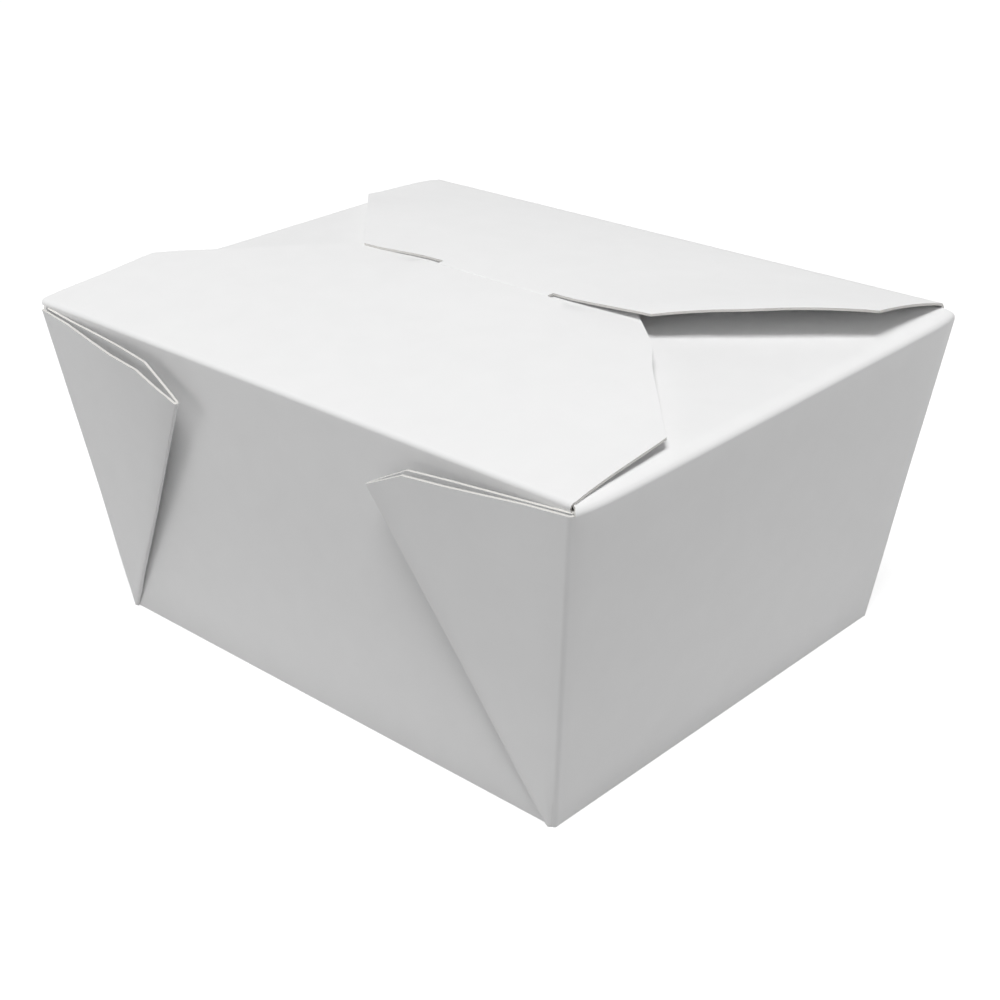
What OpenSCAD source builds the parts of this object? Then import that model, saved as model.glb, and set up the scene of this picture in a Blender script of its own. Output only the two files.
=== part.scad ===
// Folded takeout carton with webbed corners and a lid that locks by a tongue in a slit.
// One scored sheet of paperboard makes the whole box. The walls lean outwards. The web at each
// corner is folded double and lies on the outside of a long wall. Four flaps close the top:
// two end flaps lie lowest, the slit flap covers them, and the tuck flap's tongue enters the slit.
// The base stands on z = 0 and the long walls run along X. The slit flap folds from the wall
// at -Y and the tuck flap hinges on the wall at +Y.

/* [Carton] */
// Length of the base, along the long walls
base_length = 111; // [95:1:140]
// Width of the base, across the long walls
base_width = 91; // [80:1:115]
// Height of the long walls, from the table to their flap folds
wall_height = 61.5; // [50:0.5:75]
// Distance that each long wall stands out at its top
long_wall_flare = 6; // [3:0.5:12]
// Distance that each end wall stands out at its top
end_wall_flare = 8.5; // [4:0.5:14]
// Step down from the long walls' folds to the end walls' folds
end_wall_drop = 0.5; // [0.4:0.1:3]

/* [Board] */
// Thickness of the paperboard
board = 0.45; // [0.35:0.05:0.6]
// Inside radius of the folds round the base
base_fold_radius = 0.4; // [0.2:0.1:1]
// Inside radius of the folds at the flaps
flap_fold_radius = 1; // [0.6:0.1:2]
// Outside radius of the upright corner folds
corner_fold_radius = 0.9; // [0.7:0.1:1.4]
// Air between two layers that are folded flat
layer_gap = 0.15; // [0.1:0.05:0.3]

/* [Corner webs] */
// Drop from the wall's top to the web's folded tip
web_tip_drop = 7.3; // [7:0.1:14]
// Drop from the wall's top to the web's clipped corner
web_clip_drop = 2.8; // [2:0.1:6.5]
// Distance from the folded tip to the clipped corner, along the wall
web_clip_run = 9.9; // [4:0.1:14]
// Angle in degrees at which the web springs away from the wall
web_spring = 3.7; // [0:0.1:6]

/* [End flaps] */
// Length of each end flap
end_flap_length = 38; // [25:1:44]
// Setback of each end flap's sides at its fold, from the long walls
end_flap_side_gap = 2.5; // [2:0.1:5]
// Distance that each side of an end flap slants in
end_flap_taper = 10; // [4:1:16]
// Radius of an end flap's free corners
end_flap_corner = 6; // [2:0.5:12]
// Upward slope of the end flaps in degrees
end_flap_rise = 2; // [0:0.5:3]

/* [Slit flap] */
// Setback of each side of a lid flap, from the end wall
lid_side_gap = 1.4; // [1.2:0.1:3]
// Length of the straight sides of a lid flap
lid_side_length = 22; // [12:1:28]
// Upward slope of the slit flap at its fold in degrees
slit_flap_rise = 10; // [8:0.5:12]
// Radius of the slit flap's bow
slit_flap_bow = 280; // [240:10:320]
// Length of the slit flap beyond the slit
slit_flap_tail = 13; // [8:1:15]
// Width of the slit flap's leading edge
slit_flap_lead = 44; // [40:1:56]

/* [Tuck flap] */
// Radius of the tuck flap's bow
tuck_flap_bow = 185; // [150:5:195]
// Width of the tuck flap across its shoulders
shoulder_width = 69; // [50:1:76]
// Setback of the shoulders from the tongue's bend
shoulder_setback = 0.5; // [0.3:0.1:3]
// Width of the tongue
tongue_width = 27; // [16:1:32]
// Length of the tongue beyond the slit
tongue_length = 12; // [6:1:20]
// Radius of the tongue's corners
tongue_corner = 6; // [2:0.5:7.5]
// Downward bend of the tongue at the slit in degrees
tongue_dip = 35; // [25:1:50]
// Radius of the tongue's bends at the slit, to the middle of the board
tongue_bend = 0.7; // [0.5:0.1:1.2]
// Room beside the tongue at each end of the slit
slit_end_clearance = 0.5; // [0.3:0.1:2]
// Air over and under the tuck flap where it crosses the slit flap
tuck_gap = 0.2; // [0.15:0.05:0.4]
// Air round the bead that the tuck flap turns on
hinge_clearance = 0.15; // [0.1:0.05:0.25]

/* [Hidden] */
$fn = 48;
// Steps in a fold, in a rounded corner and in a flap's bow
fold_steps = 8;
corner_steps = 6;
bow_steps = 24;
// How far a cutting shape reaches past the board, and its height over the table
cut_margin = 1;
cut_height = 2 * wall_height;
// Lean of the walls from upright
long_lean = atan(long_wall_flare / wall_height);
end_lean = atan(end_wall_flare / wall_height);
// Height of the walls along their own outer faces
long_slope = wall_height / cos(long_lean);
end_slope = (wall_height - end_wall_drop) / cos(end_lean);
// Outside radius of the folds, and how far the base stops short of its outer corner
base_bend = base_fold_radius + board;
flap_bend = flap_fold_radius + board;
// A flap's strip of board starts this far down its wall
flap_lap = 2 * board;
long_setback = base_bend * tan((90 - long_lean) / 2);
end_setback = base_bend * tan((90 - end_lean) / 2);
// A flat fold swells a little beyond the two layers that it joins
fold_swell = 1.02;
layer_pitch = board + layer_gap;
flat_fold = fold_swell * (board + layer_gap / 2);
corner_bead = fold_swell * corner_fold_radius;
// A long wall's sides stand inside the end walls by two layers and their air
web_inset = 2 * board + 1.5 * layer_gap;
long_foot = base_length / 2 - web_inset;
// The web's two layers share what is left of a full turn about the base's corner
long_side_slant = atan(end_wall_flare / long_slope);
end_side_slant = atan(long_wall_flare * cos(end_lean) / wall_height);
web_half_angle = (90 - long_side_slant - end_side_slant) / 2;
web_fold_lean = web_half_angle - long_side_slant;
web_foot = board;
web_tip = [long_foot - (long_slope - web_tip_drop) * tan(web_fold_lean), long_slope - web_tip_drop];
web_clip = [web_tip[0] + web_clip_run, long_slope - web_clip_drop];
// Half the width of both lid flaps
lid_half = base_length / 2 + end_wall_flare - lid_side_gap;
// Where the slit flap leaves its fold, as distance out from the middle and height
slit_root = [
    base_width / 2 + long_wall_flare - flap_bend * cos(long_lean) + flap_bend * sin(slit_flap_rise),
    wall_height + flap_bend * sin(long_lean) + flap_bend * cos(slit_flap_rise)
];
slit_bow_centre = slit_root - slit_flap_bow * [sin(slit_flap_rise), cos(slit_flap_rise)];
slit_overrun = 1;
slit_bow_angle = slit_flap_rise - asin((-slit_flap_tail - slit_bow_centre[0]) / slit_flap_bow) + slit_overrun;
// Where an end flap leaves its fold, and its free edge
end_root = base_length / 2 + end_slope * sin(end_lean) - flap_bend * (cos(end_lean) - sin(end_flap_rise));
end_tip = end_root - end_flap_length * cos(end_flap_rise);
// The tongue drops from above the slit flap to below it
dip_drop = 2 * (board + tuck_gap);
dip_straight = (dip_drop - 2 * tongue_bend * (1 - cos(tongue_dip))) / sin(tongue_dip);
dip_run = 2 * tongue_bend * sin(tongue_dip) + dip_straight * cos(tongue_dip);
slit_width = (board + 2 * tuck_gap + board * cos(tongue_dip)) / sin(tongue_dip);
slit_length = tongue_width + 2 * slit_end_clearance;
// The tuck flap turns on a bead along the top of its wall
hinge_bead = fold_swell * board / 2;
hinge_groove = hinge_bead + hinge_clearance;
hinge_rise = flap_fold_radius + board / 2;
hinge_out = base_width / 2 + (long_slope + hinge_rise) * sin(long_lean) - board / 2 * cos(long_lean);
hinge_up = (long_slope + hinge_rise) * cos(long_lean) + board / 2 * sin(long_lean);
// The tuck flap's bow runs from the bead to where the tongue starts to dip
tuck_reach = [hinge_out - dip_run / 2, slit_top(dip_run / 2) + tuck_gap + board / 2 - hinge_up];
tuck_half_angle = asin(norm(tuck_reach) / (2 * tuck_flap_bow));
tuck_flap_rise = atan2(tuck_reach[1], tuck_reach[0]) + tuck_half_angle;
// The tongue ends up along the underside of the slit flap
tongue_fall = asin((tongue_length / 2 - slit_bow_centre[0]) / slit_flap_bow);

// Height of the slit flap's upper face, y being measured towards the tuck flap
function slit_top(y) = slit_bow_centre[1] + sqrt(pow(slit_flap_bow, 2) - pow(y + slit_bow_centre[0], 2));

// Axis of an upright corner fold at height z
function corner_axis(z) = [
    base_length / 2 + end_wall_flare * z / wall_height - corner_fold_radius / cos(end_lean),
    base_width / 2 + long_wall_flare * z / wall_height
        + (2 * layer_pitch - corner_fold_radius) / cos(long_lean),
    z
];

// Points round a corner of radius r
function arc(centre, r, from, to) =
    [for (i = [0:corner_steps])
        let (a = from + (to - from) * i / corner_steps)
            centre + r * [cos(a), sin(a)]];

// A board's middle line is a list of places [out, up, heading]. It runs inwards, and its heading
// is its upward slope in degrees. Place at distance d straight ahead of s
function ahead(s, d) = [s[0] - d * cos(s[2]), s[1] + d * sin(s[2]), s[2]];

// Places round an arc from s to a new heading, bending downwards if r is positive
function sweep(s, r, heading, steps) = [
    for (i = [1:steps])
        let (h = s[2] + (heading - s[2]) * i / steps)
            [s[0] + r * (sin(h) - sin(s[2])), s[1] + r * (cos(h) - cos(s[2])), h]
];

// Outline of the board's section along a middle line
function section(line) = concat(
    [for (s = line) [s[0], s[1]] + board / 2 * [sin(s[2]), cos(s[2])]],
    [for (i = [len(line) - 1:-1:0]) [line[i][0], line[i][1]] - board / 2 * [sin(line[i][2]), cos(line[i][2])]]
);

// Middle line from a wall's top round the fold of its flap. In a wall's frame out is zero on its outer face
function flap_root(slope, heading) =
    let (foot = [-board / 2, slope - flap_lap, 90])
    let (top = ahead(foot, flap_lap))
    concat([foot, top], sweep(top, flap_fold_radius + board / 2, heading, fold_steps));

// The tuck flap's middle line: the bow from the bead, the dip through the slit, and the tongue
function tuck_line() =
    let (bead = [hinge_out, hinge_up, tuck_flap_rise])
    let (bow = sweep(bead, tuck_flap_bow, tuck_flap_rise - 2 * tuck_half_angle, bow_steps))
    let (crest = bow[len(bow) - 1])
    let (dip = sweep(crest, tongue_bend, crest[2] - tongue_dip, fold_steps))
    let (slope = ahead(dip[len(dip) - 1], dip_straight))
    let (rest = sweep(slope, -tongue_bend, -tongue_fall, fold_steps))
    concat([bead], bow, dip, [slope], rest, [ahead(rest[len(rest) - 1], tongue_length + dip_run)]);

// A round rod from p to q
module rod(p, q, r) {
    v = q - p;
    translate(p)
        rotate([0, acos(v[2] / norm(v)), atan2(v[1], v[0])])
            cylinder(h = norm(v), r = r);
}

// Flat board with this outline: outer face on z = 0
module panel(outline) {
    linear_extrude(board)
        polygon(outline);
}

// Board bent about X, from y = 0 on towards +Z
module bend(width, angle, inside) {
    translate([-width / 2, 0, inside + board])
        rotate([0, 90, 0])
            rotate_extrude(angle = angle)
                translate([inside, 0])
                    square([board, width]);
}

// Frame of a wall: x along its foot, y up its outer face, z into the box
module stand(out, lean) {
    translate([0, out, 0])
        rotate([90 - lean, 0, 0])
            children();
}

// Bent board along a middle line in a wall's frame
module strip(line, width) {
    translate([-width / 2, 0, 0])
        rotate([90, 0, 90])
            linear_extrude(width)
                polygon([for (p = section(line)) [p[1], -p[0]]]);
}

module base() {
    inner = [base_length - 2 * end_setback, base_width - 2 * long_setback];
    translate([-inner[0] / 2, -inner[1] / 2, 0])
        cube([inner[0], inner[1], board]);
    for (turn = [0, 180]) {
        rotate([0, 0, turn])
            translate([0, inner[1] / 2, 0])
                bend(2 * long_foot, 90 - long_lean, base_fold_radius);
        rotate([0, 0, turn + 90])
            translate([0, inner[0] / 2, 0])
                bend(2 * corner_axis(0)[1], 90 - end_lean, base_fold_radius);
    }
}

// One corner web on the outside of a long wall, at its +X end. It hangs on the wall's side edge
module web() {
    foot = [long_foot + web_foot * tan(long_side_slant), web_foot];
    heel = [long_foot - web_foot * tan(web_fold_lean), web_foot];
    top = [long_foot + end_wall_flare, long_slope];
    reach = [corner_axis(0)[0] - long_foot, 0];
    fold_depth = -board - 1.5 * layer_gap;
    rod([foot[0], foot[1], -layer_gap / 2], [top[0], top[1], -layer_gap / 2], flat_fold);
    translate([long_foot, 0, 0])
        rotate(a = -web_spring, v = [sin(long_side_slant), cos(long_side_slant), 0])
            translate([-long_foot, 0, 0]) {
                translate([0, 0, -layer_pitch])
                    panel([foot, top, web_clip, web_tip, heel]);
                translate([0, 0, -2 * layer_pitch])
                    panel([foot + reach, top + reach, web_clip, web_tip, heel]);
                rod([heel[0], heel[1], fold_depth], [web_tip[0], web_tip[1], fold_depth], flat_fold);
            }
}

module long_wall() {
    foot = long_foot + long_setback * tan(long_side_slant);
    top = long_foot + end_wall_flare;
    panel([[-foot, long_setback], [foot, long_setback], [top, long_slope], [-top, long_slope]]);
    web();
    mirror([1, 0, 0])
        web();
}

module end_wall() {
    foot = corner_axis(end_setback * cos(end_lean))[1];
    top = corner_axis(wall_height - end_wall_drop)[1];
    panel([[-foot, end_setback], [foot, end_setback], [top, end_slope], [-top, end_slope]]);
}

// The flap on an end wall, which lies under the lid
module end_flap() {
    root = flap_root(end_slope, end_flap_rise - end_lean);
    tip = ahead(root[len(root) - 1], end_flap_length + cut_margin);
    side = base_width / 2 + long_wall_flare - end_flap_side_gap;
    corner = [side - end_flap_taper - end_flap_corner, end_tip + end_flap_corner];
    rear = base_length / 2 + end_wall_flare + cut_margin;
    intersection() {
        stand(base_length / 2, end_lean)
            strip(concat(root, [tip]), 2 * (side + cut_margin));
        linear_extrude(cut_height)
            polygon(concat(
                [[-side, end_root], [-side, rear], [side, rear], [side, end_root]],
                arc(corner, end_flap_corner, 0, -90),
                arc([-corner[0], corner[1]], end_flap_corner, 270, 180)
            ));
    }
}

// The lid flap with the slit, bowed over the box
module slit_flap() {
    heading = slit_flap_rise - long_lean;
    root = flap_root(long_slope, heading);
    bow = sweep(root[len(root) - 1], slit_flap_bow - board / 2, heading - slit_bow_angle, bow_steps);
    rear = -base_width / 2 - long_wall_flare - cut_margin;
    side = lid_side_length - slit_root[0];
    intersection() {
        rotate([0, 0, 180])
            stand(base_width / 2, long_lean)
                strip(concat(root, bow), 2 * (lid_half + cut_margin));
        linear_extrude(cut_height)
            difference() {
                polygon([
                    [-lid_half, rear],
                    [lid_half, rear],
                    [lid_half, side],
                    [slit_flap_lead / 2, slit_flap_tail],
                    [-slit_flap_lead / 2, slit_flap_tail],
                    [-lid_half, side]
                ]);
                square([slit_length, slit_width], center = true);
            }
    }
}

// Top of the wall that carries the tuck flap: a strip of board with a round bead
module hinge_edge() {
    translate([-lid_half, long_slope - flap_lap, 0])
        cube([2 * lid_half, flap_lap + hinge_rise, board]);
    rod(
        [-lid_half, long_slope + hinge_rise, board / 2],
        [lid_half, long_slope + hinge_rise, board / 2],
        hinge_bead
    );
}

module corner_fold() {
    rod(corner_axis(corner_fold_radius), corner_axis(wall_height - end_wall_drop), corner_bead);
}

module carton() {
    color([0.95, 0.95, 0.94]) {
        base();
        for (turn = [0, 180]) {
            rotate([0, 0, turn])
                stand(base_width / 2, long_lean)
                    long_wall();
            rotate([0, 0, turn + 90])
                stand(base_length / 2, end_lean)
                    end_wall();
            rotate([0, 0, turn + 90])
                end_flap();
            rotate([0, 0, turn])
                corner_fold();
            rotate([0, 0, turn])
                mirror([1, 0, 0])
                    corner_fold();
        }
        slit_flap();
        stand(base_width / 2, long_lean)
            hinge_edge();
    }
}

// The lid flap with the tongue: one bent board, cut to its outline seen from above
module tuck_flap() {
    shoulder = dip_run / 2 + shoulder_setback;
    tip = -dip_run / 2 - tongue_length;
    side = hinge_out - lid_side_length;
    rear = hinge_out + cut_margin;
    half = [lid_half, shoulder_width / 2, tongue_width / 2];
    color([0.95, 0.95, 0.94])
        difference() {
            intersection() {
                translate([-lid_half, 0, 0])
                    rotate([90, 0, 90])
                        linear_extrude(2 * lid_half)
                            polygon(section(tuck_line()));
                linear_extrude(cut_height)
                    polygon(concat(
                        [[half[0], rear], [-half[0], rear], [-half[0], side]],
                        [[-half[1], shoulder], [-half[2], shoulder]],
                        arc([tongue_corner - half[2], tip + tongue_corner], tongue_corner, 180, 270),
                        arc([half[2] - tongue_corner, tip + tongue_corner], tongue_corner, 270, 360),
                        [[half[2], shoulder], [half[1], shoulder], [half[0], side]]
                    ));
            }
            rod(
                [-lid_half - cut_margin, hinge_out, hinge_up],
                [lid_half + cut_margin, hinge_out, hinge_up],
                hinge_groove
            );
        }
}

carton();
tuck_flap();
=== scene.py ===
import math

import bmesh
import bpy
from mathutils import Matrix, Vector
from mathutils.kdtree import KDTree


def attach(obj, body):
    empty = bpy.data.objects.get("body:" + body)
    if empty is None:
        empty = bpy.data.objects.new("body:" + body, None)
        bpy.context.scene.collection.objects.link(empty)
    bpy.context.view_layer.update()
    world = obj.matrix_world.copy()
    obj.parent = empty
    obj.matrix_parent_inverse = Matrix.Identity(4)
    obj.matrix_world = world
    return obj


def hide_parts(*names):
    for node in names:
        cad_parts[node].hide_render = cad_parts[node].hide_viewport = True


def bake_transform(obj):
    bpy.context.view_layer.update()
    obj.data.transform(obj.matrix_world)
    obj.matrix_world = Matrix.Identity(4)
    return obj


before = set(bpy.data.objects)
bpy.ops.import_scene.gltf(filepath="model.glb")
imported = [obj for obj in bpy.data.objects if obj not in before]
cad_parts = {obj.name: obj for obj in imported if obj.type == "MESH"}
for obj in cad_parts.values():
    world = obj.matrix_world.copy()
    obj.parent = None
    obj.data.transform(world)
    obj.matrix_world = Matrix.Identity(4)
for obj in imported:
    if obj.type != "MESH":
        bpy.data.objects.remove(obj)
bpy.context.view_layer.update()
bpy.ops.object.select_all(action="DESELECT")

# The base is the middle panel of the die-cut blank, a sheet of paperboard 0.45 mm thick.
# Walls, webs and flaps are all folded up from its four creases, so the carton is modelled as one
# sheet along the middle of the board, which gets its thickness when every fold is made.
MM = 0.001
board = 0.45 * MM
base_length, base_width = 111 * MM, 91 * MM
wall_height = 61.5 * MM
long_flare, end_flare = 6 * MM, 9 * MM
long_lean = math.degrees(math.atan2(long_flare, wall_height))
end_lean = math.degrees(math.atan2(end_flare, wall_height))
crease_inside = 0.1 * MM
base_fold = crease_inside + board / 2
fold_reach = base_fold + board / 2
long_setback = fold_reach * math.tan(math.radians(45 - long_lean / 2))
end_setback = fold_reach * math.tan(math.radians(45 - end_lean / 2))
base_half = (base_length / 2 - end_setback, base_width / 2 - long_setback)
long_columns, end_columns = 46, 36

bpy.ops.mesh.primitive_grid_add(
    x_subdivisions=long_columns, y_subdivisions=end_columns, size=2, location=(0, 0, board / 2)
)
carton = bpy.context.object
carton.name = "folded_carton"
carton.scale = (*base_half, 1)
bpy.ops.object.transform_apply(location=True, rotation=True, scale=True)

# The end walls lean outwards from the short sides of the base, creased and folded up.
# Each carries a flap with rounded corners that lies lowest under the lid. The flap springs up from
# its crease in a soft shoulder, most of all on the right, where the lid presses its front end down.


def sine(degrees):
    return math.sin(math.radians(degrees))


def cosine(degrees):
    return math.cos(math.radians(degrees))


def ahead(place, run):
    """The place this far on along the board's middle line. A place is (out, up, heading), and heading
    is the line's upward slope as it runs inwards."""
    out, up, heading = place
    return (out - run * cosine(heading), up + run * sine(heading), heading)


def bend(place, radius, heading, steps):
    """Places round a fold of this radius, up to a new heading."""
    out, up, start = place
    turned = [start + (heading - start) * i / steps for i in range(1, steps + 1)]
    return [
        (out + radius * (sine(h) - sine(start)), up + radius * (cosine(h) - cosine(start)), h)
        for h in turned
    ]


def even(half, columns):
    """Marks across the board at even steps from -half to half."""
    return [half * (2 * i / columns - 1) for i in range(columns + 1)]


def across(place, marks, facing):
    """One row of places across the panel that faces this way."""
    out, up, _ = place
    return [
        (facing[0] * out + facing[1] ** 2 * m, facing[1] * out + facing[0] ** 2 * m, up)
        for m in marks
    ]


def pick(places):
    """Selects the sheet's vertices at these places, and what lies between them."""
    sheet = bmesh.from_edit_mesh(bpy.context.object.data)
    tree = KDTree(len(sheet.verts))
    for i, vertex in enumerate(sheet.verts):
        tree.insert(vertex.co, i)
    tree.balance()
    sheet.verts.ensure_lookup_table()
    bpy.ops.mesh.select_all(action="DESELECT")
    for place in places:
        sheet.verts[tree.find(place)[1]].select = True
    sheet.select_flush(True)
    bmesh.update_edit_mesh(bpy.context.object.data)


def lead_on(rows, along):
    """Carries the board on from its selected edge: one extrusion to each row, ordered along one axis."""
    for row in rows:
        bpy.ops.mesh.extrude_edges_move()
        sheet = bmesh.from_edit_mesh(bpy.context.object.data)
        edge = sorted((v for v in sheet.verts if v.select), key=lambda v: v.co[along])
        for vertex, place in zip(edge, row, strict=True):
            vertex.co = place
        bmesh.update_edit_mesh(bpy.context.object.data)


# Values by side: 1 is the right end wall, -1 the left one.
end_root = (base_half[0], board / 2, 180)
base_steps, wall_rows = 4, 10
end_wall_drop = 0.15 * MM
end_slope = (wall_height - end_wall_drop) / cosine(end_lean)
end_bulges, bulge_growth, corner_hold = {1: 1 * MM, -1: 0}, 3, 16
ear_width = 0.1 * MM
layer_gap = 0.15 * MM
layer_pitch = board + layer_gap
swell_power = 0.75
corner_radius = 0.9 * MM
end_fold_narrowing, end_narrowing_powers = 1.3 * MM, {1: 2.5, -1: 1}
flap_steps, shoulder_steps, end_flap_rows = 8, 4, 16
end_flap_rise = 2
end_flap_length, end_flap_taper, end_flap_corner = 38 * MM, 10 * MM, 6 * MM
front_right_top = (base_length / 2 + end_flare, -base_width / 2 - long_flare)
end_flap_pulls = [(front_right_top, 100 * MM, (0, 0, -0.5 * MM))]


def web_swell(up):
    """The share of their full distance that the corner web's layers lie apart at this height."""
    return max(0, up / wall_height) ** swell_power


def corner_out(up):
    """How far the end wall reaches along Y at this height, up to where it turns into the web."""
    stand = (2 * layer_pitch * web_swell(up) - corner_radius) / cosine(long_lean)
    return base_width / 2 + long_flare * up / wall_height + stand


def end_profile(drop, crease_radius, shoulder, shoulder_radius):
    """Middle lines of an end wall's foot, of the wall up to its ears, and of its flap's crease and
    shoulder. The shoulder is the slope between the two."""
    foot = bend(end_root, base_fold, 90 + end_lean, base_steps)
    wall = [
        ahead(foot[-1], (end_slope - end_setback) * i / wall_rows) for i in range(wall_rows + 1)
    ]
    top = ahead(wall[-1], -drop)
    crease = bend(top, crease_radius, shoulder, flap_steps)
    soft_end = bend(crease[-1], shoulder_radius, end_flap_rise, shoulder_steps)
    return foot, wall, [top] + crease + soft_end


end_profiles = {
    1: end_profile(
        drop=-0.25 * MM, crease_radius=0.975 * MM, shoulder=30, shoulder_radius=4.4 * MM
    ),
    -1: end_profile(
        drop=-0.4 * MM, crease_radius=0.6 * MM, shoulder=10, shoulder_radius=4 * MM
    ),
}


def foot_halves(foot):
    """Half the end wall's width at each step of its foot."""
    return [
        base_half[1] + (corner_out(place[1]) - base_half[1]) * i / base_steps
        for i, place in enumerate(foot, 1)
    ]


def eared(half, ear):
    """Marks across the end wall: even ones between its two outermost columns, which become the ears."""
    return [-half, *even(half - ear, end_columns - 2), half]


def fading(share):
    """Goes smoothly from 1 at a share of 0 or less to nothing at 1."""
    left = min(1, max(0, 1 - share))
    return left * left * (3 - 2 * left)


def pulled(row, pulls):
    """The row after the soft pulls (centre, reach, move), each fading out over its reach in plan."""
    moved = []
    for place in row:
        move = Vector()
        for centre, reach, shift in pulls:
            move += fading(math.dist(place[:2], centre) / reach) * Vector(shift)
        moved.append(Vector(place) + move)
    return moved


def bulged(row, bulge):
    """The row across an end wall pressed out by this much, but for its ends, held by the corners."""
    half = corner_out(wall_height)
    return [(x + bulge * (1 - min(1, abs(y) / half) ** corner_hold), y, z) for x, y, z in row]


def flap_runs(length, rows):
    """Distances along a flap, closer together towards its end, where its corners are rounded."""
    return [length * math.sin(math.pi / 2 * i / rows) for i in range(1, rows + 1)]


def corner_cut(run, length, radius):
    """What a flap's rounded corner takes off its half width at this distance along it."""
    rounding = max(0, run - length + radius)
    return radius - math.sqrt(max(0, radius ** 2 - rounding ** 2))


bpy.ops.object.mode_set(mode="EDIT")
bpy.ops.mesh.select_mode(type="VERT")
for side, (foot, wall, fold) in end_profiles.items():
    facing = (side, 0)
    halves = foot_halves(foot)
    bulge = side * end_bulges[side]
    foot_column = 2 * halves[-1] / end_columns
    pick(across(end_root, even(base_half[1], end_columns), facing))
    rows = [across(p, even(h, end_columns), facing) for p, h in zip(foot, halves)]
    for i, place in enumerate(wall[1:], 1):
        ear = foot_column + (ear_width - foot_column) * i / wall_rows
        row = across(place, eared(corner_out(place[1]), ear), facing)
        rows.append([
            row[0], *bulged(row[1:-1], bulge * (i / wall_rows) ** bulge_growth), row[-1]
        ])
    crease_half = corner_out(wall[-1][1]) - ear_width
    flap_rows = []
    for i, place in enumerate(fold):
        narrowed = (i / (len(fold) - 1)) ** end_narrowing_powers[side]
        half = crease_half - end_fold_narrowing * narrowed
        flap_rows.append(across(place, even(half, end_columns - 2), facing))
    for run in flap_runs(end_flap_length, end_flap_rows):
        half = crease_half - end_fold_narrowing - end_flap_taper * run / end_flap_length
        half -= corner_cut(run, end_flap_length, end_flap_corner)
        flap_rows.append(across(ahead(fold[-1], run), even(half, end_columns - 2), facing))
    flap_rows = [pulled(bulged(row, bulge), end_flap_pulls) for row in flap_rows]
    rows[-1][1:-1] = flap_rows[0]
    lead_on(rows, along=1)
    pick(flap_rows[0])
    lead_on(flap_rows[1:], along=1)

# The long walls lean outwards from the long sides of the base. The wall at the front carries the
# slit flap, which bows up over the end flaps, narrows to its leading edge and has a slit across it
# for the tongue. The wall at the back ends at the crease of the tuck flap.
front, back = (0, -1), (0, 1)
long_root = (base_half[1], board / 2, 180)
long_slope = wall_height / cosine(long_lean)
web_room = 2 * board + 1.5 * layer_gap
long_foot_half = base_length / 2 - web_room
lid_inset = 1.9 * MM
lid_half = base_length / 2 + end_flare - lid_inset
slit_fold_overhang, slit_stand = 1.2 * MM, 0.55 * MM
slit_fold_half = lid_half + slit_fold_overhang
slit_crease_inside = 0.5 * MM
slit_flap_fold = slit_crease_inside + board / 2
slit_flap_rise, slit_flap_bow = 10, 280 * MM - board / 2
slit_flap_side, slit_flap_tail, slit_flap_lead = 22 * MM, 13 * MM, 22 * MM
slit_half, slit_edge = 14 * MM, 0.4 * MM
slit_columns = 9
side_rows, slant_rows, slit_rows, tail_rows = 8, 12, 2, 6
lip_lift, lip_fade, lip_run, lip_inset = 0.75 * MM, 12 * MM, 22 * MM, 2 * MM


def lid_marks(half, inner, share=1):
    """Marks across a lid panel: even ones that give way, by share, to marks that stay put across its
    middle."""
    side_columns = long_columns // 2 - slit_columns
    right = [inner * i / slit_columns for i in range(slit_columns + 1)]
    right += [inner + (half - inner) * i / side_columns for i in range(1, side_columns + 1)]
    held = [-m for m in reversed(right[1:])] + right
    return [m + share * (h - m) for m, h in zip(even(half, long_columns), held)]


def bowed(root, radius, out):
    """The place at this distance out on a bow that starts at root."""
    centre = (root[0] - radius * sine(root[2]), root[1] - radius * cosine(root[2]))
    heading = math.degrees(math.asin((out - centre[0]) / radius))
    return (out, centre[1] + radius * cosine(heading), heading)


def steps_between(start, end, count):
    """Even steps after start, up to and with end."""
    return [start + (end - start) * i / count for i in range(1, count + 1)]


long_foot = bend(long_root, base_fold, 90 + long_lean, base_steps)
long_straight = long_slope - long_setback
wall_runs = [long_straight * i / wall_rows for i in range(wall_rows + 1)]
long_wall = [ahead(long_foot[-1], run) for run in wall_runs]
wall_shares = [(long_setback + run) / long_slope for run in wall_runs]
long_wall_half = [long_foot_half + end_flare * share for share in wall_shares]
foot_widening = long_wall_half[0] - base_half[0]
long_foot_halves = [
    base_half[0] + foot_widening * i / base_steps for i in range(1, base_steps + 1)
]
slit_fold = [ahead(long_wall[-1], slit_stand)]
slit_fold += bend(slit_fold[0], slit_flap_fold, slit_flap_rise, flap_steps)
slit_root = slit_fold[-1][0]
slit_corner = slit_root - slit_flap_side
slit_outs = steps_between(slit_root, slit_corner, side_rows)
slit_outs += steps_between(slit_corner, slit_edge, slant_rows)
slit_outs += steps_between(slit_edge, -slit_edge, slit_rows)
slit_outs += steps_between(-slit_edge, -slit_flap_tail, tail_rows)


def slit_flap_half(out):
    """Half the slit flap's width at this distance out."""
    slant = max(0, (slit_corner - out) / (slit_corner + slit_flap_tail))
    side = max(0, (out - slit_corner) / slit_flap_side)
    return lid_half + (slit_flap_lead - lid_half) * slant + (slit_fold_half - lid_half) * side


def lipped(row, out):
    """The row with the near lip of the slit held up by the tongue below it."""
    rise = lip_lift * fading((out - slit_edge) / lip_run) if out > 0 else 0
    return [
        (x, y, z + rise * fading((abs(x) - slit_half + lip_inset) / lip_fade)) for x, y, z in row
    ]


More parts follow.
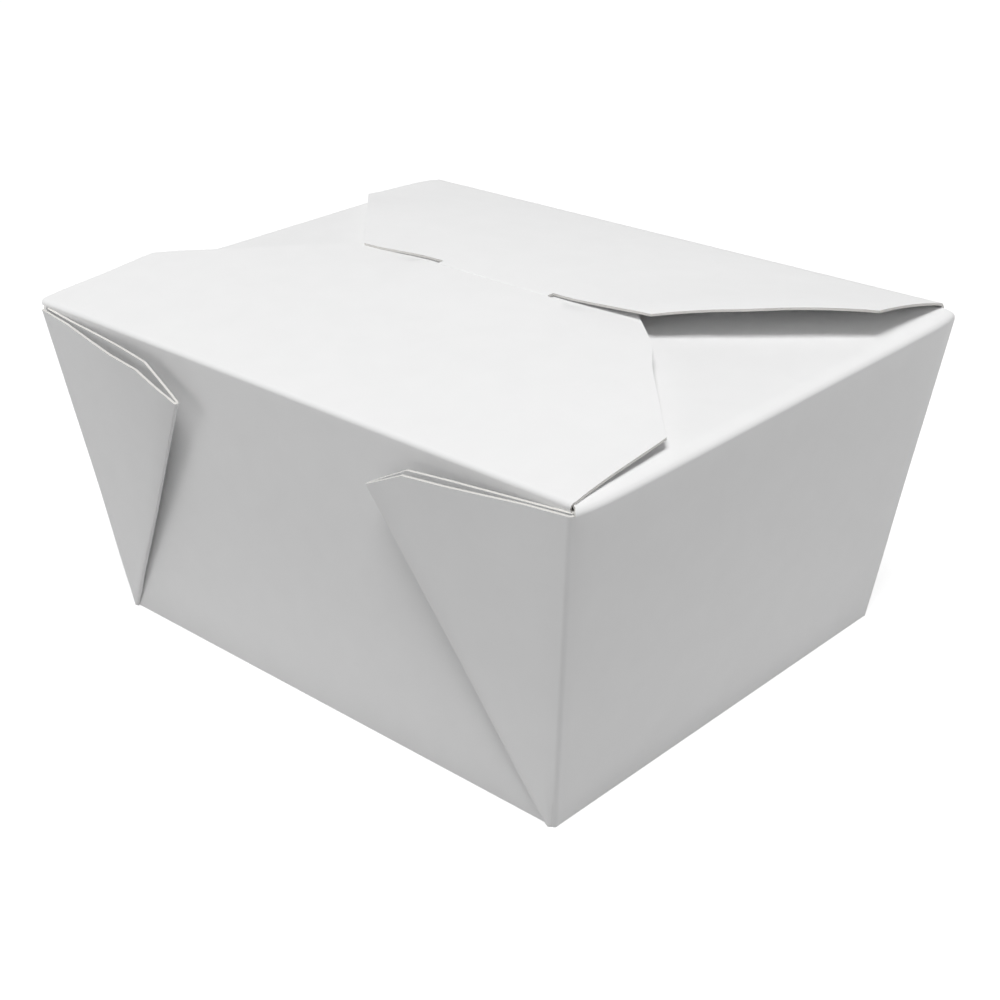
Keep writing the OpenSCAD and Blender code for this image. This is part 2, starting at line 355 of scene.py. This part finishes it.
# The right corner dips, the left end of the crease runs out, the right slanted edge swells a little,
# and the left corner is drawn in.
slit_flap_pulls = [
    ((lid_half, -slit_corner), 22 * MM, (0, 0, -0.95 * MM)),
    ((-slit_fold_half, -slit_root), 14 * MM, (-2 * MM, 0, -0.25 * MM)),
    ((39 * MM, -4 * MM), 15 * MM, (1.2 * MM, 0, 0)),
    ((-lid_half, -slit_corner), 20 * MM, (0, 1 * MM, 0.35 * MM)),
]
wall_tops = {}
for facing in (front, back):
    pick(across(long_root, even(base_half[0], long_columns), facing))
    rows = [across(p, even(h, long_columns), facing) for p, h in zip(long_foot, long_foot_halves)]
    rows += [
        across(p, lid_marks(h, slit_half, i / wall_rows), facing)
        for i, (p, h) in enumerate(zip(long_wall, long_wall_half))
        if i
    ]
    lead_on(rows, along=0)
    wall_tops[facing] = rows[-1]
pick(wall_tops[front])
rows = []
for i, place in enumerate(slit_fold):
    half = long_wall_half[-1] + (slit_fold_half - long_wall_half[-1]) * i / flap_steps
    rows.append(pulled(across(place, lid_marks(half, slit_half), front), slit_flap_pulls))
for out in slit_outs:
    place = bowed(slit_fold[-1], slit_flap_bow, out)
    row = across(place, lid_marks(slit_flap_half(out), slit_half), front)
    rows.append(lipped(pulled(row, slit_flap_pulls), out))
lead_on(rows, along=0)
middle = slice(long_columns // 2 - slit_columns, long_columns // 2 + slit_columns + 1)
round_slit = slice(-tail_rows - slit_rows - 1, -tail_rows)
pick([place for row in rows[round_slit] for place in row[middle]])
bpy.ops.mesh.delete(type="ONLY_FACE")

# The corner webs join each end wall to the long wall beside it. Each is a triangle of the same sheet,
# folded back on itself, so it lies double on the outside of the long wall with its folded tip
# towards the middle. The board's spring holds it a little off the wall and its layers apart.
long_slant = math.degrees(math.atan2(end_flare, long_slope))
end_slant = math.degrees(math.atan(long_flare * cosine(end_lean) / wall_height))
web_slack, web_spring = 1, 3.9
web_angle = (90 - long_slant - end_slant) / 2 - web_slack
web_bulges, puff_power = {1: 0.8 * MM, -1: 1.45 * MM}, 4
inner_rises, belly_power = {1: 0.3 * MM, -1: 1 * MM}, 1.6
tip_drop, clip_run, clip_drop = 6.7 * MM, 8.5 * MM, 2.4 * MM
web_top = Vector((long_foot_half + end_flare, long_slope))
web_tip_up = long_slope - tip_drop
web_tip_in = web_tip_up * math.tan(math.radians(web_angle - long_slant))
web_tip = Vector((long_foot_half - web_tip_in, web_tip_up))
web_clip = Vector((web_tip.x + clip_run, long_slope - clip_drop))
web_heel = Vector((long_foot_half, 0))
clip_turn = long_slant - math.degrees(math.atan2(web_clip.x - web_heel.x, web_clip.y))
clip_steps = 4
web_turns = steps_between(0, clip_turn, clip_steps) + [(clip_turn + web_angle) / 2, web_angle]
hairpin = layer_pitch / 2
hairpin_turns = (-45, 0, 45, 90)
corner_middle = corner_radius - board / 2
corner_turns = (0, 30, 60)
foot_share, foot_drop = 0.1, 0.1
low_shares = [wall_shares[0] * foot_drop, *wall_shares[1:]]


def web_reach(turn):
    """Length of the web's line at this turn from the long wall's side, from the base's corner to the
    cut edge."""
    line = Vector((sine(long_slant - turn), cosine(long_slant - turn)))
    near, far = (web_top, web_clip) if turn <= clip_turn else (web_clip, web_tip)
    return (near - web_heel).cross(far - near) / line.cross(far - near)


def bellied(turn):
    """Goes from nothing at the long wall's side to 1 and back to nothing at the web's folded tip."""
    return sine(180 * (turn / web_angle) ** belly_power)


def web_rows(facing_x, facing_y):
    """Rows from the long wall's side edge round its fold, out along the inner layer, back along the
    outer one and round the upright corner to the end wall."""
    outward = Vector((0, facing_y * cosine(long_lean), -sine(long_lean)))
    upward = Vector((0, facing_y * sine(long_lean), cosine(long_lean)))
    end_outward = Vector((facing_x * cosine(end_lean), 0, -sine(end_lean)))
    end_wall = end_profiles[facing_x][1]

    def line(turn, aside, lift, layer=0, puff=0, rise=0):
        """One line of the web: aside is its shift square to itself, lift its distance off the wall,
        and layer its distance outside the inner layer, which is less near the base, where the layers
        squeeze together. Puff is how far its upper end stands out, and rise how far its cut edge
        stands up."""
        tilt = long_slant - turn
        places = []
        for share in low_shares if layer else wall_shares:
            run = share * (web_reach(turn) + rise)
            u = web_heel.x + run * sine(tilt) + aside * cosine(tilt)
            v = run * cosine(tilt) - aside * sine(tilt)
            apart = layer * (foot_share + (1 - foot_share) * share ** swell_power)
            w = lift + apart + run * sine(turn) * sine(web_spring) + puff * share ** puff_power
            foot = Vector((facing_x * u, facing_y * base_width / 2, 0))
            places.append(foot + v * upward + w * outward)
        return places

    inner = hairpin - board / 2
    rise, puff = inner_rises[facing_x], web_bulges[facing_x]
    rows = [
        line(0, hairpin * cosine(a), inner - hairpin + hairpin * sine(a)) for a in hairpin_turns
    ]
    rows += [line(turn, 0, inner, rise=rise * bellied(turn)) for turn in web_turns]
    rows += [
        line(web_angle, -hairpin * cosine(a), inner, hairpin + hairpin * sine(a))
        for a in hairpin_turns
    ]
    rows += [
        line(turn, 0, inner, layer_pitch, puff * bellied(turn)) for turn in reversed(web_turns[:-1])
    ]
    for corner_turn in corner_turns:
        row = []
        turned = cosine(corner_turn) * outward + sine(corner_turn) * end_outward
        for i, place in enumerate(end_wall):
            up = place[1] * (1 if i else foot_drop) + corner_middle * sine(end_lean)
            out = base_length / 2 + end_flare * up / wall_height - corner_radius / cosine(end_lean)
            centre = Vector((facing_x * out, facing_y * corner_out(up), up))
            row.append(centre + corner_middle * turned)
        rows.append(row)
    rows.append([(facing_x * p[0], facing_y * corner_out(p[1]), p[1]) for p in end_wall])
    return rows


for facing_x in (1, -1):
    for facing_y in (-1, 1):
        pick([(facing_x * h, facing_y * p[0], p[1]) for p, h in zip(long_wall, long_wall_half)])
        lead_on(web_rows(facing_x, facing_y), along=2)
        foot = end_profiles[facing_x][0]
        base_corner = (facing_x * base_half[0], facing_y * base_half[1], board / 2)
        long_side, end_side = [base_corner], [base_corner]
        for place, half in zip(long_foot, long_foot_halves):
            long_side.append((facing_x * half, facing_y * place[0], place[1]))
        for place, half in zip(foot, foot_halves(foot)):
            end_side.append((facing_x * place[0], facing_y * half, place[1]))
        for i in range(base_steps):
            pick(long_side[i:i + 2] + end_side[i:i + 2])
            bpy.ops.mesh.edge_face_add()
weld_distance = 0.01 * MM
bpy.ops.mesh.select_all(action="SELECT")
bpy.ops.mesh.remove_doubles(threshold=weld_distance)
bpy.ops.mesh.normals_make_consistent(inside=False)
bpy.ops.object.mode_set(mode="OBJECT")

# The board is white-lined carton board. Its clay coating gives a soft satin face with a faint mottle
# and a trace of fibre, and its cut edges show the matte, slightly warmer pulp between the faces.
# Real fibres are a few hundredths of a millimetre wide, too fine to show, so they are drawn at 0.5 mm.
mottle_size, unevenness_size, fibre_size = 6 * MM, 16 * MM, 0.5 * MM
unevenness_depth, unevenness_strength, fibre_strength = 0.35 * MM, 0.35, 0.3
smooth_angle = 40


def linear(hex_colour):
    """An sRGB hex colour as linear RGBA."""
    parts = [int(hex_colour[i:i + 2], 16) / 255 for i in (0, 2, 4)]
    return (*(p / 12.92 if p <= 0.04045 else ((p + 0.055) / 1.055) ** 2.4 for p in parts), 1)


def add_node(tree, kind, inputs=None, **settings):
    """Adds a node. An input is a value or the socket that it is linked from."""
    made = tree.nodes.new(kind)
    for name, value in settings.items():
        setattr(made, name, value)
    for name, value in (inputs or {}).items():
        if isinstance(value, bpy.types.NodeSocket):
            tree.links.new(value, made.inputs[name])
        else:
            made.inputs[name].default_value = value
    return made


def paperboard(name, pale, dark, roughness, fibre_depth):
    """Paperboard with a mottled colour, and a bump of its fibres over the sheet's slow unevenness."""
    material = bpy.data.materials.new(name)
    material.use_nodes = True
    tree = material.node_tree
    shader = tree.nodes["Principled BSDF"]
    place = add_node(tree, "ShaderNodeTexCoord").outputs["Object"]
    mottle = add_node(
        tree, "ShaderNodeTexNoise", {"Vector": place, "Scale": 1 / mottle_size, "Detail": 3}
    )
    # On a colour mix, inputs 6 and 7 and output 2 are the colours.
    tint = add_node(
        tree, "ShaderNodeMix",
        {0: mottle.outputs["Fac"], 6: linear(dark), 7: linear(pale)}, data_type="RGBA",
    )
    tree.links.new(tint.outputs[2], shader.inputs["Base Color"])
    unevenness = add_node(
        tree, "ShaderNodeTexNoise", {"Vector": place, "Scale": 1 / unevenness_size, "Detail": 1}
    )
    slow = add_node(
        tree, "ShaderNodeBump",
        {"Height": unevenness.outputs["Fac"], "Strength": unevenness_strength,
         "Distance": unevenness_depth},
    )
    fibres = add_node(
        tree, "ShaderNodeTexNoise", {"Vector": place, "Scale": 1 / fibre_size, "Detail": 4}
    )
    fine = add_node(
        tree, "ShaderNodeBump",
        {"Height": fibres.outputs["Fac"], "Strength": fibre_strength, "Distance": fibre_depth,
         "Normal": slow.outputs["Normal"]},
    )
    tree.links.new(fine.outputs["Normal"], shader.inputs["Normal"])
    shader.inputs["Roughness"].default_value = roughness
    shader.inputs["IOR"].default_value = 1.5
    return material


coated_face = paperboard("clay_coated_carton_board", "F4F4F4", "F0F0F0", 0.5, 0.02 * MM)
cut_edge = paperboard("cut_carton_board_edge", "E2E1DE", "D4D2CE", 0.85, 0.06 * MM)


def give_thickness(sheet):
    """Makes the folded middle sheet into board of its real thickness, with its cut edges as the second
    material."""
    bpy.ops.object.select_all(action="DESELECT")
    sheet.select_set(True)
    bpy.context.view_layer.objects.active = sheet
    sheet.data.materials.append(coated_face)
    sheet.data.materials.append(cut_edge)
    body = sheet.modifiers.new("board", "SOLIDIFY")
    body.thickness = board
    body.offset = 0
    body.use_even_offset = True
    body.use_quality_normals = True
    body.material_offset_rim = 1
    bpy.ops.object.modifier_apply(modifier=body.name)
    bpy.ops.object.shade_smooth_by_angle(angle=math.radians(smooth_angle))


give_thickness(carton)
# The right and front walls belly out a little at the foot, and the webs' pointed feet are pressed
# level with the base.
right_belly, front_belly, belly_height = 0.25 * MM, 0.55 * MM, 30 * MM
for vertex in carton.data.vertices:
    x, y, z = vertex.co
    low = fading(z / belly_height)
    vertex.co.x += right_belly * low * max(0, x / (base_length / 2))
    vertex.co.y += front_belly * low * min(0, y / (base_width / 2))
    vertex.co.z = max(z, 0)
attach(carton, "box")
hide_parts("carton")

# The tuck flap is the last flap to close, folded over from the back wall on its crease.
# It bows over the slit flap, its shoulders rest on it, and its tongue dips through the slit and lies
# under it. The crease is the part's only joint.
hinge_stand = 1 * MM
hinge_rise = hinge_stand + board / 2
hinge_slope = long_slope + hinge_rise
crease_out = base_width / 2 + hinge_slope * sine(long_lean) - board / 2 * cosine(long_lean)
crease_up = hinge_slope * cosine(long_lean) + board / 2 * sine(long_lean)
tuck_rise, tuck_bow = 13.52, 185 * MM
crease = (crease_out, crease_up, tuck_rise)
tuck_flap_side, shoulder_half, shoulder_out = 22 * MM, 34.5 * MM, 1.64 * MM
tuck_corner = crease_out - tuck_flap_side
tuck_side_rows, tuck_slant_rows = 8, 16
tongue_half, tongue_corner, tongue_length = 13.5 * MM, 6 * MM, 12 * MM
tongue_dip, tongue_bend, dip_drop, tongue_lie = 50, 0.7 * MM, 0.62 * MM, -3
dip_steps, tongue_rows = 4, 12
# The flap's right edge is sprung up, its left edge pressed down, and its shoulders are a little askew.
right_edge_middle = ((lid_half + shoulder_half) / 2, (tuck_corner + shoulder_out) / 2)
tuck_pulls = [
    ((lid_half, tuck_corner), 24 * MM, (-0.1 * MM, 0, 1.45 * MM)),
    (right_edge_middle, 26 * MM, (0, 0, 1.6 * MM)),
    ((shoulder_half, shoulder_out), 20 * MM, (0.3 * MM, 0.65 * MM, 0.85 * MM)),
    ((-lid_half, tuck_corner), 22 * MM, (-0.6 * MM, 0, -2.1 * MM)),
    ((-shoulder_half, shoulder_out), 19 * MM, (1.7 * MM, -1.9 * MM, -0.2 * MM)),
]
hinge_lift, hinge_fade, left_share = 1.1 * MM, 30 * MM, 0.15
crease_radius = hinge_rise / math.tan(math.radians((90 + long_lean - tuck_rise) / 2))
tuck_fold = bend(long_wall[-1], crease_radius, tuck_rise, flap_steps)
tuck_outs = steps_between(tuck_fold[-1][0], tuck_corner, tuck_side_rows)
tuck_outs += steps_between(tuck_corner, shoulder_out, tuck_slant_rows)


def tuck_flap_half(out):
    """Half the tuck flap's width at this distance out."""
    slant = max(0, (tuck_corner - out) / (tuck_corner - shoulder_out))
    return lid_half + (shoulder_half - lid_half) * slant


def hinge_lifted(row, share=1):
    """The row with the lid's crease sprung up, most of all at its right end."""
    lifted = []
    for x, y, z in row:
        rise = hinge_lift * (left_share + (1 - left_share) * (x / lid_half + 1) / 2)
        lifted.append((x, y, z + share * rise * fading((crease_out - y) / hinge_fade)))
    return lifted


bpy.ops.object.select_all(action="DESELECT")
bpy.ops.mesh.primitive_grid_add(x_subdivisions=long_columns, y_subdivisions=1, size=2)
tuck_flap = bpy.context.object
tuck_flap.name = "tuck_flap_board"
bpy.ops.object.mode_set(mode="EDIT")
rows = [
    hinge_lifted(across(p, lid_marks(lid_half, tongue_half), back), i / flap_steps)
    for i, p in enumerate(tuck_fold, 1)
]
start_row = across(long_wall[-1], lid_marks(long_wall_half[-1], tongue_half), back)
first = bmesh.from_edit_mesh(tuck_flap.data)
edge = sorted(first.verts, key=lambda v: (v.co.y, v.co.x))
for vertex, place in zip(edge, start_row + rows[0], strict=True):
    vertex.co = place
bmesh.update_edit_mesh(tuck_flap.data)
pick(rows[0])
for out in tuck_outs:
    row = across(bowed(crease, tuck_bow, out), lid_marks(tuck_flap_half(out), tongue_half), back)
    rows.append(hinge_lifted(pulled(row, tuck_pulls)))
lead_on(rows[1:], along=0)
pick(rows[-1][middle])
dip_straight = (dip_drop - 2 * tongue_bend * (1 - cosine(tongue_dip))) / sine(tongue_dip)
dip_run = 2 * tongue_bend * sine(tongue_dip) + dip_straight * cosine(tongue_dip)
crest = bowed(crease, tuck_bow, dip_run / 2)
dip = bend(crest, tongue_bend, crest[2] - tongue_dip, dip_steps)
dip.append(ahead(dip[-1], dip_straight))
dip += bend(dip[-1], -tongue_bend, tongue_lie, dip_steps)
rows = [across(p, even(tongue_half, 2 * slit_columns), back) for p in [crest] + dip]
for run in flap_runs(tongue_length, tongue_rows):
    half = tongue_half - corner_cut(run, tongue_length, tongue_corner)
    rows.append(across(ahead(dip[-1], run), even(half, 2 * slit_columns), back))
lead_on(rows, along=0)
bpy.ops.mesh.select_all(action="SELECT")
bpy.ops.mesh.normals_make_consistent(inside=False)
bpy.ops.object.mode_set(mode="OBJECT")
give_thickness(tuck_flap)
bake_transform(tuck_flap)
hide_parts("tuck_flap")

# The box stands on a plain white studio floor, matt paint without a mark. The floor is white to the
# camera and in reflections, and keeps the box's shadow.
floor_size, floor_grey, floor_glow = 6, "B4B4B4", 0.8


def shown_white(tree):
    """1 for the rays that show the background: straight to the camera, or by way of gloss or glass."""
    rays = add_node(tree, "ShaderNodeLightPath")
    glossed = add_node(
        tree, "ShaderNodeMath",
        {0: rays.outputs["Is Camera Ray"], 1: rays.outputs["Is Glossy Ray"]}, operation="MAXIMUM",
    )
    return add_node(
        tree, "ShaderNodeMath",
        {0: glossed.outputs["Value"], 1: rays.outputs["Is Transmission Ray"]}, operation="MAXIMUM",
    ).outputs["Value"]


bpy.ops.object.select_all(action="DESELECT")
bpy.ops.mesh.primitive_plane_add(size=floor_size, location=(0, 0, 0))
floor = bpy.context.object
floor.name = "studio_floor"
floor_paint = bpy.data.materials.new("matt_white_studio_floor")
floor_paint.use_nodes = True
tree = floor_paint.node_tree
tree.nodes.remove(tree.nodes["Principled BSDF"])
paint = add_node(tree, "ShaderNodeBsdfDiffuse", {"Color": linear(floor_grey)})
glow = add_node(tree, "ShaderNodeEmission", {"Strength": floor_glow})
seen = add_node(
    tree, "ShaderNodeAddShader", {0: paint.outputs["BSDF"], 1: glow.outputs["Emission"]}
)
choice = add_node(
    tree, "ShaderNodeMixShader",
    {0: shown_white(tree), 1: paint.outputs["BSDF"], 2: seen.outputs["Shader"]},
)
tree.links.new(choice.outputs["Shader"], tree.nodes["Material Output"].inputs["Surface"])
floor.data.materials.append(floor_paint)

# The light is that of a small studio: a softbox overhead, one low at each side, and an even surround.
# Where rays show the background, it has a strength of 1, which is plain white.
white = (1, 1, 1, 1)
surround_strength, backdrop_strength = 0.12, 1.0
world = bpy.data.worlds.new("white_studio")
bpy.context.scene.world = world
world.use_nodes = True
tree = world.node_tree
surround = tree.nodes["Background"]
surround.inputs["Color"].default_value = white
surround.inputs["Strength"].default_value = surround_strength
backdrop = add_node(
    tree, "ShaderNodeBackground", {"Color": white, "Strength": backdrop_strength}
)
choice = add_node(
    tree, "ShaderNodeMixShader",
    {0: shown_white(tree), 1: surround.outputs["Background"], 2: backdrop.outputs["Background"]},
)
tree.links.new(choice.outputs["Shader"], tree.nodes["World Output"].inputs["Surface"])
# Each softbox has its place and size in metres and its power in watts.
softboxes = (
    ("overhead_softbox", (0.3, -0.43, 1.38), 0.6, 17.5),
    ("left_softbox", (-0.45, -0.4, 0.12), 0.25, 0.46),
    ("right_softbox", (0.6, 0.5, 0.12), 0.3, 1.1),
)
lamp_aim = Vector((0, 0, 0.04))
for name, place, size, power in softboxes:
    bpy.ops.object.light_add(type="AREA", location=place)
    softbox = bpy.context.object
    softbox.name = name
    softbox.data.shape = "SQUARE"
    softbox.data.size = size
    softbox.data.energy = power
    softbox.visible_camera = False
    softbox.rotation_euler = (lamp_aim - softbox.location).to_track_quat("-Z", "Y").to_euler()

# The camera stands at the front right corner, a little above the lid, as in the photograph.
# Its turn, distance and lens are those that lay a flared box of this size over the photographed one.
azimuth, elevation, roll = 43.2044, 26.2914, -0.8704
camera_distance, aim_right, aim_up = 352.8 * MM, 0.75 * MM, 21.2 * MM
toward = Vector((
    sine(azimuth) * cosine(elevation), -cosine(azimuth) * cosine(elevation), sine(elevation)
))
level = Vector((cosine(azimuth), sine(azimuth), 0))
rightward = level * cosine(roll) + toward.cross(level) * sine(roll)
upward = toward.cross(level) * cosine(roll) - level * sine(roll)
bpy.ops.object.camera_add(
    location=toward * camera_distance + rightward * aim_right + upward * aim_up
)
camera = bpy.context.object
camera.name = "photograph_camera"
turn = camera.matrix_world.to_3x3()
turn.col[0], turn.col[1], turn.col[2] = rightward, upward, toward
camera.rotation_euler = turn.to_euler()
camera.data.lens = 64.67
camera.data.sensor_width = 36
camera.data.clip_start, camera.data.clip_end = 0.01, 20
bpy.context.scene.camera = camera
bpy.context.scene.view_settings.view_transform = "Standard"
